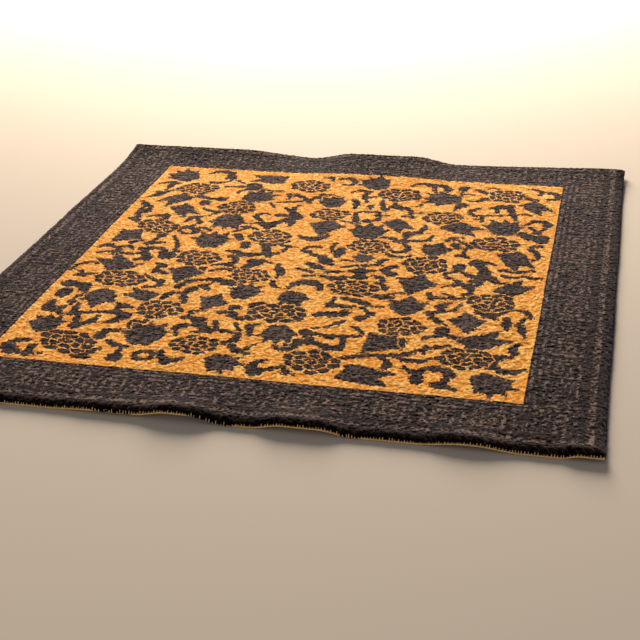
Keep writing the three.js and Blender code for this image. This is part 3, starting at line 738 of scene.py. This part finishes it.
# One strip of the pile, closed: top and rim from the unfolded grid, straight walls where it meets the
# next strip, and a plain underside that the ground weave covers
def buildPileStrip(surface, standsAndPaintedShade, number):
    across, along, k = pattern["cellsAcross"], pattern["cellsAlong"], rim["rows"]
    first = along // pile["strips"] * number
    last = first + along // pile["strips"]
    nearRim = k if first == 0 else 0
    farRim = k if last == along else 0
    window = slice(first + k - nearRim, last + k + farRim + 1)
    block = surface[window]
    rows, columns = block.shape[:2]
    index = np.arange(rows * columns).reshape(rows, columns)
    used = np.ones((rows, columns), bool)
    sideways = np.r_[0:k, columns - k:columns]
    for beyond, base, step in ((nearRim, nearRim, -1), (farRim, rows - 1 - farRim, 1)):
        for n in range(1, beyond + 1):
            used[base + step * n, sideways] = False
            # An end's rim shares the corner line with the side's rim
            index[base + step * n, k] = index[base, k - n]
            index[base + step * n, columns - 1 - k] = index[base, columns - 1 - k + n]
    cellUsed = used[:-1, :-1] & used[1:, :-1] & used[:-1, 1:] & used[1:, 1:]
    cell = np.stack([index[:-1, :-1], index[:-1, 1:], index[1:, 1:], index[1:, :-1]], axis=-1)
    cellRow, cellColumn = np.nonzero(cellUsed)
    topUv = np.stack([
        (cellColumn[:, None] + np.array([0, 1, 1, 0])) / (columns - 1),
        (cellRow[:, None] + np.array([0, 0, 1, 1])) / (rows - 1) * stripUv["top"],
    ], axis=-1)
    faces, uvs = [cell[cellUsed]], [topUv]

    # Yarn of each cell: the chart's, and its nearest cell's on the rim
    r = np.clip(np.arange(rows - 1) + first - nearRim, 0, along - 1)
    c = np.clip(np.arange(columns - 1) - k, 0, across - 1)
    yarn = yarnChart[r][:, c][cellUsed]
    shade = knotShade[r][:, c][cellUsed]

    coordinates = block.reshape(-1, 3)
    edges = []
    for beyond, base, step in ((nearRim, nearRim, -1), (farRim, rows - 1 - farRim, 1)):
        if beyond:
            edges.append(index[base + step * k, k:columns - k])
            continue
        inner = np.arange(k + 1, columns - k - 1)
        drop = coordinates[index[base, inner]].copy()
        v = np.full(len(inner), (first if step < 0 else last) / along * 2 - 1)
        drop[:, 2] = pile["bottom"] + liftAt(((inner - k) / across * 2 - 1) * halfWidthAt(v), v)
        start = len(coordinates)
        coordinates = np.concatenate([coordinates, drop])
        upper = index[base, k:columns - k]
        lower = np.concatenate([[index[base, 0]], start + np.arange(len(drop)), [index[base, columns - 1]]])
        order = (0, 1, 2, 3) if step < 0 else (3, 2, 1, 0)
        wall = np.stack([upper[1:-2], lower[1:-2], lower[2:-1], upper[2:-1]], axis=-1)
        level = stripUv["walls"][step > 0]
        faces.append(wall[:, order])
        uvs.append(bandUv(len(wall), level, level + stripUv["wall"], order))
        left = np.concatenate([[upper[1], upper[0]], index[base, k - 1::-1][:k], [lower[1]]])
        right = np.concatenate([[lower[-2]], index[base, :columns - k - 1:-1], [upper[-1], upper[-2]]])
        for n, polygon in enumerate((left, right)):
            polygon = polygon[::-step] if step > 0 else polygon
            box = (0.5 * n + 0.25 * (step > 0), stripUv["corners"], 0.2, 0.01)
            faces.append(polygon[None, :])
            uvs.append(boxUv(coordinates[polygon][:, [0, 2]], box))
        edges.append(lower)
    near, far = edges
    faces.append(np.stack([near[1:-2], far[1:-2], far[2:-1], near[2:-1]], axis=-1))
    uvs.append(bandUv(len(near) - 3, stripUv["under"], 1.0, (1, 0, 3, 2)))
    sides = slice(nearRim, rows - farRim)
    for n, polygon in enumerate((
        np.concatenate([[near[1]], index[sides, 0], [far[1]]]),
        np.concatenate([[far[-2]], index[sides, columns - 1][::-1], [near[-2]]]),
    )):
        faces.append(polygon[None, :])
        uvs.append(boxUv(coordinates[polygon][:, [1, 0]], (0.5 * n, stripUv["sides"], 0.45, 0.01)))

    kept, renumbered = np.unique(np.concatenate([table.ravel() for table in faces]), return_inverse=True)
    cuts = np.cumsum([table.size for table in faces])[:-1]
    tables = [part.reshape(table.shape) for part, table in zip(np.split(renumbered, cuts), faces)]
    smooth = np.arange(sum(len(table) for table in tables)) < len(yarn)
    piece = makePiece(f"pile_{number + 1}", coordinates[kept], tables, smooth, uvs)
    tones = np.full(len(smooth), yarns["border"])
    tones[:len(yarn)] = yarn
    shades = np.full(len(smooth), 0.5)
    shades[:len(yarn)] = shade
    # Painted shade and highlight of each point: how far it stands out, dark in the gaps and down the side
    paintedShadeShare = np.zeros(len(coordinates))
    paintedShadeShare[:block.shape[0] * columns] = standsAndPaintedShade[window].ravel()
    paint(piece, (tones + 0.5) / len(yarns), paintedShadeShare[kept][renumbered], shades)
    return piece


surface, standsAndPaintedShade = pileSurface()
strips = [buildPileStrip(surface, standsAndPaintedShade, number) for number in range(pile["strips"])]
print("stage: pile knotted,", sum(len(strip.data.polygons) for strip in strips), "faces")

# Ground weave: the cotton warps and wefts that hold the knots, with the knots' backs on the underside
ground = {"cellsAcross": 150, "cellsAlong": 156, "sideInset": 3, "endInset": 4.3, "thickness": 3.0}
# Heights in its UV square: the underside up to, the top from and how high, the rim from
groundUv = {"under": 0.78, "topFrom": 0.79, "top": 0.2, "rimFrom": 0.993}


# A closed sheet: the same grid at two heights over the floor, with a wall of quads round it
def buildGround():
    across, along = ground["cellsAcross"], ground["cellsAlong"]
    u, v = np.meshgrid(np.linspace(-1, 1, across + 1), np.linspace(-1, 1, along + 1))
    insets = (ground["sideInset"], ground["endInset"])
    sheets = [place(u, v, *insets, height) for height in (0, ground["thickness"])]
    bottom = np.arange(u.size).reshape(u.shape)
    top = bottom + u.size
    loop = np.concatenate([bottom[0, :-1], bottom[:-1, -1], bottom[-1, :0:-1], bottom[:0:-1, 0]])
    after = np.roll(loop, -1)
    under = np.stack([bottom[:-1, :-1], bottom[1:, :-1], bottom[1:, 1:], bottom[:-1, 1:]], axis=-1)
    upper = np.stack([top[:-1, :-1], top[:-1, 1:], top[1:, 1:], top[1:, :-1]], axis=-1)
    faces = [
        under.reshape(-1, 4),
        upper.reshape(-1, 4),
        np.stack([loop, after, after + u.size, loop + u.size], axis=-1),
    ]
    j, i = np.divmod(np.arange(across * along), across)
    grid = np.stack([
        (i[:, None] + np.array([0, 0, 1, 1])) / across,
        (j[:, None] + np.array([0, 1, 1, 0])) / along * groundUv["under"],
    ], axis=-1)
    over = grid[:, [0, 3, 2, 1]] * (1, groundUv["top"] / groundUv["under"]) + (0, groundUv["topFrom"])
    piece = makePiece("ground", np.concatenate([sheet.reshape(-1, 3) for sheet in sheets]), faces,
                      uvs=[grid, over, bandUv(len(loop), groundUv["rimFrom"], 1.0, (1, 2, 3, 0))])
    r = (j + 0.5) / along * pattern["cellsAlong"]
    c = (i + 0.5) / across * pattern["cellsAcross"]
    backs = yarnChart[r.astype(int), c.astype(int)]
    plain = np.full(len(faces[1]) + len(faces[2]), yarns["outerBand"])
    tones = (np.concatenate([backs, plain]) + 0.5) / len(yarns)
    paint(piece, tones, np.full(4 * len(tones), 0.5), np.full(len(tones), 0.5))
    return piece


groundSheet = buildGround()
print("stage: ground woven")

# Edging of both ends: a two-ply cord along the ground's edge, and upright stitches that hold it
edging = {
    "inset": 2.5,
    "height": 1.5,
    "radius": 1.45,
    "sides": 10,
    "rings": 640,
    "plyPitch": 8,
    "plyDepth": 0.16,
    "knotSwell": 0.5,  # both ends of a cord are knotted off, this far from its tips
    "knotAt": 2.5,
    "knotWidth": 2,
    "seed": 5,
}
stitching = {
    "count": 250,
    "radius": 0.95,
    "taper": [1, 1, 1, 0.95, 0.8, 0.5],
    "sides": 5,
    "stray": 0.1,  # of the distance from one to the next
    "foot": 2,  # the part above this height has a length of its own: mean and spread, least and most
    "length": (0.9, 0.22),
    "lengths": (0.45, 1.2),
    "lean": 0.35,
}
# Path of a stitch from under the cord, round its outer side and up the pile's face: inset, height
stitchPath = [(3.2, 1.0), (1.0, 1.0), (-0.2, 1.9), (-0.5, 3.9), (-0.4, 6.2), (1.6, 8.4)]


# A tube of rings round a path: rings is an array of points (ring, side, xyz), the ends closed by one face
def tubeFaces(count, sides, start=0):
    ring = np.arange(count * sides).reshape(count, sides) + start
    after = np.roll(ring, -1, axis=1)
    walls = np.stack([ring[:-1], after[:-1], after[1:], ring[1:]], axis=-1).reshape(-1, 4)
    return walls, np.stack([ring[0][::-1], ring[-1]])


# Cord of two plies: the radius swells and thins twice round the section, and turns once in a pitch. It
# swells like a bell curve into a small knot near each tip
def buildCord(name, end):
    u = np.linspace(-1, 1, edging["rings"])[:, None]
    angle = (np.arange(edging["sides"]) / edging["sides"] * 2 * np.pi)[None, :] * -end
    turned = angle - u * form["width"] * np.pi / edging["plyPitch"]
    radius = edging["radius"] * (1 - edging["plyDepth"] * (0.5 - 0.5 * np.cos(2 * turned)))
    fromTip = (1 - np.abs(u)) * form["width"] / 2
    knot = edging["knotSwell"] * np.exp(-((fromTip - edging["knotAt"]) / edging["knotWidth"]) ** 2)
    radius = radius * (1 + knot)
    middle = edging["height"] + edging["radius"] * knot
    inset = edging["inset"] + radius * np.cos(angle) * end
    points = place(u, float(end), edging["inset"], inset, middle + radius * np.sin(angle))
    walls, caps = tubeFaces(edging["rings"], edging["sides"])
    return makePiece(name, points.reshape(-1, 3), [walls, caps])


# Stitches: small tubes along one path, each a little longer or shorter and leaning to one side
def buildStitches(name, end):
    rng = np.random.default_rng(edging["seed"] + end)
    n, steps, sides, foot = stitching["count"], len(stitchPath), stitching["sides"], stitching["foot"]
    u = (np.arange(n) + 0.5 + rng.normal(0, stitching["stray"], n)) / n * 2 - 1
    length = np.clip(rng.normal(*stitching["length"], n), *stitching["lengths"])[:, None]
    leaning = rng.normal(0, stitching["lean"], n)[:, None] * np.linspace(0, 1, steps)
    inset, height = np.array(stitchPath).T
    height = np.where(height > foot, foot + (height - foot) * length, height)
    radius = stitching["radius"] * np.array(stitching["taper"])
    tangent = np.stack([-np.gradient(inset) * np.ones((n, 1)), np.gradient(height, axis=1)], axis=-1)
    tangent /= np.linalg.norm(tangent, axis=-1, keepdims=True)
    angle = np.arange(sides) / sides * 2 * np.pi
    outwards = inset[None, :, None] - radius[:, None] * np.cos(angle) * tangent[..., 1:]
    upwards = height[..., None] - radius[:, None] * np.cos(angle) * tangent[..., :1]
    centre = place(u[:, None, None], float(end), 0, outwards, upwards)
    centre[..., 0] += leaning[..., None] - end * radius[:, None] * np.sin(angle)
    walls, caps = tubeFaces(steps, sides)
    offset = (np.arange(n) * steps * sides)[:, None, None]
    faces = [(walls + offset).reshape(-1, 4), (caps + offset).reshape(-1, sides)]
    return makePiece(name, centre.reshape(-1, 3), faces)


cords = [buildCord(name + "_cord", end) for name, end in (("near", -1), ("far", 1))]
stitches = [buildStitches(name + "_stitches", end) for name, end in (("near", -1), ("far", 1))]
print("stage: edging sewn")


wool = {
    "fibreScale": 330.0,  # per metre: fibre bundles of about 3 mm
    "endScale": 700.0,
    "base": -3.0,
    "byDepthShade": 2.2,
    "byKnot": 1.5,
    "byFibre": 1.8,
    "byEnds": 1.0,
    "bump": 0.8,
    "bumpDepth": 0.0016,
    "sheen": 0.3,
    "sheenRoughness": 0.3,
    "roughness": 0.88,
    "specular": 0.03,
    "sheenTint": "#E4DDF2",
}
# Colour of each yarn deep in the pile, darkened as painted shade, and at its tips, lightened as painted
# highlight
woolColours = {
    "field": ("#E79529", "#FFD27A"),
    "stem": ("#040201", "#4E3B32"),
    "greyMotif": ("#060302", "#5F4E48"),
    "motif": ("#040201", "#46332A"),
    "border": ("#030101", "#392D28"),
    "fret": ("#0A0605", "#7E6D66"),
    "outerBand": ("#020101", "#30251F"),
    "edging": ("#DE9C38", "#FFE0A0"),
}
cotton = {
    "strandScale": 700.0,
    "strandEdges": (0.35, 0.65),  # noise values where a strand is darkest and lightest
    "bump": 0.5,
    "bumpDepth": 0.0004,
    "roughness": 0.85,
}


# Cut pile of wool: matt, with painted shade deep between the tufts and a painted highlight at their tips,
# no two knots alike. Two ramps give each yarn's colour down in the pile, with painted shade, and at its
# tips, with painted highlight; how far a point stands out (the painted shade and highlight), the knot's
# own shade and fine fibre noise choose between them
def woolMaterial():
    material, tree = newMaterial("cut-pile wool, hand-knotted")
    chart = addNode(tree, "Attribute", {"attribute_name": "chart"})
    parts = addNode(tree, "SeparateColor", Color=chart.outputs["Color"])
    place = addNode(tree, "TexCoord")
    fibre = addNode(tree, "TexNoise", Vector=place.outputs["Object"], Scale=wool["fibreScale"], Detail=2.0)
    ends = addNode(tree, "TexNoise", Vector=place.outputs["Object"], Scale=wool["endScale"], Detail=1.0)
    # Share of the tip colour: stands * a + shade * b + fibre * c + ends * d, less what centres it. The
    # first term is painted shade in the gaps and painted highlight on the tips
    share = addNode(tree, "Math", {"operation": "MULTIPLY_ADD"},
                    i0=parts.outputs["Green"], i1=wool["byDepthShade"], i2=wool["base"])
    for value, weight in ((parts.outputs["Blue"], "byKnot"), (fibre.outputs["Fac"], "byFibre"),
                          (ends.outputs["Fac"], "byEnds")):
        share = addNode(tree, "Math", {"operation": "MULTIPLY_ADD"},
                        i0=value, i1=wool[weight], i2=share.outputs["Value"])
    colours = []
    for which in (0, 1):
        ramp = addNode(tree, "ValToRGB", Fac=parts.outputs["Red"])
        ramp.color_ramp.interpolation = "CONSTANT"
        while len(ramp.color_ramp.elements) < len(yarns):
            ramp.color_ramp.elements.new(0.5)
        for n, name in enumerate(yarns):
            ramp.color_ramp.elements[n].position = n / len(yarns)
            ramp.color_ramp.elements[n].color = linear(woolColours[name][which])
        colours.append(ramp.outputs["Color"])
    # Painted shade deep in the pile and painted highlight at the tips: the mix of the two ramps
    blend = addNode(tree, "Mix", {"data_type": "RGBA", "clamp_factor": True},
                    i0=share.outputs["Value"], i6=colours[0], i7=colours[1])
    height = addNode(tree, "Math", {"operation": "ADD"}, i0=fibre.outputs["Fac"], i1=ends.outputs["Fac"])
    bump = addNode(tree, "Bump", Height=height.outputs["Value"],
                   Strength=wool["bump"], Distance=wool["bumpDepth"])
    shader = addNode(tree, "BsdfPrincipled", Roughness=wool["roughness"], Normal=bump.outputs["Normal"],
                     **{"Base Color": blend.outputs[2], "Specular IOR Level": wool["specular"],
                        "Sheen Weight": wool["sheen"], "Sheen Roughness": wool["sheenRoughness"],
                        "Sheen Tint": linear(wool["sheenTint"])})
    addNode(tree, "OutputMaterial", Surface=shader.outputs["BSDF"])
    return material


# Golden cotton yarn: two plies twisted, matt, with light catching the strands
def yarnMaterial():
    material, tree = newMaterial("golden cotton yarn, twisted")
    place = addNode(tree, "TexCoord")
    strands = addNode(tree, "TexNoise", Vector=place.outputs["Object"],
                      Scale=cotton["strandScale"], Detail=2.0)
    colour = addNode(tree, "ValToRGB", Fac=strands.outputs["Fac"])
    for n, element in enumerate(colour.color_ramp.elements):
        element.position = cotton["strandEdges"][n]
        element.color = linear(woolColours["edging"][n])
    bump = addNode(tree, "Bump", Height=strands.outputs["Fac"],
                   Strength=cotton["bump"], Distance=cotton["bumpDepth"])
    shader = addNode(tree, "BsdfPrincipled", Roughness=cotton["roughness"], Normal=bump.outputs["Normal"],
                     **{"Base Color": colour.outputs["Color"]})
    addNode(tree, "OutputMaterial", Surface=shader.outputs["BSDF"])
    return material


pileWool, goldenYarn = woolMaterial(), yarnMaterial()
for material, slotName, pieces in (
    (pileWool, "pile", strips + [groundSheet]),
    (goldenYarn, "overcast", cords + stitches),
):
    for piece in pieces:
        piece.data.materials.append(material)
        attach(piece, "root")
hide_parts("carpet")
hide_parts("near_overcast")
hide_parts("far_overcast")

# Floor, lamps (place, target, size, power, colour) and the light from all round
studio = {
    "floorHalf": 9000,
    "floorColour": "#B4AEA6",
    "floorRoughness": 0.9,
    "far light": ((-1.2, 5.8, 2.2), (0, 0.2, 0), 3.0, 1250, "#FFEAD2"),
    "fill": ((-1.5, -4.2, 1.1), (0, -0.3, 0), 2.0, 40, "#FFF2E0"),
    "roundColour": "#FFFAF6",
    "roundStrength": 0.22,
}
floorCorners = np.array([[-1, -1, 0], [1, -1, 0], [1, 1, 0], [-1, 1, 0]]) * studio["floorHalf"]
floorMesh = makePiece("floor", floorCorners, [np.array([[0, 1, 2, 3]])], smooth=False)
floorPaper, floorTree = newMaterial("pale studio floor, matt")
floorShader = addNode(floorTree, "BsdfPrincipled", Roughness=studio["floorRoughness"],
                      **{"Base Color": linear(studio["floorColour"])})
addNode(floorTree, "OutputMaterial", Surface=floorShader.outputs["BSDF"])
floorMesh.data.materials.append(floorPaper)


def addLamp(name, place, target, size, power, colour):
    data = bpy.data.lights.new(name, "AREA")
    data.shape = "DISK"
    data.size = size
    data.energy = power
    data.color = linear(colour)[:3]
    lamp = bpy.data.objects.new(name, data)
    bpy.context.scene.collection.objects.link(lamp)
    direction = Vector(target) - Vector(place)
    lamp.matrix_world = Matrix.Translation(place) @ direction.to_track_quat("-Z", "Y").to_matrix().to_4x4()


for name in ("far light", "fill"):
    addLamp(name, *studio[name])
world = bpy.data.worlds.new("studio")
world.use_nodes = True
world.node_tree.nodes["Background"].inputs["Color"].default_value = linear(studio["roundColour"])
world.node_tree.nodes["Background"].inputs["Strength"].default_value = studio["roundStrength"]
bpy.context.scene.world = world
bpy.context.scene.view_settings.view_transform = "Standard"
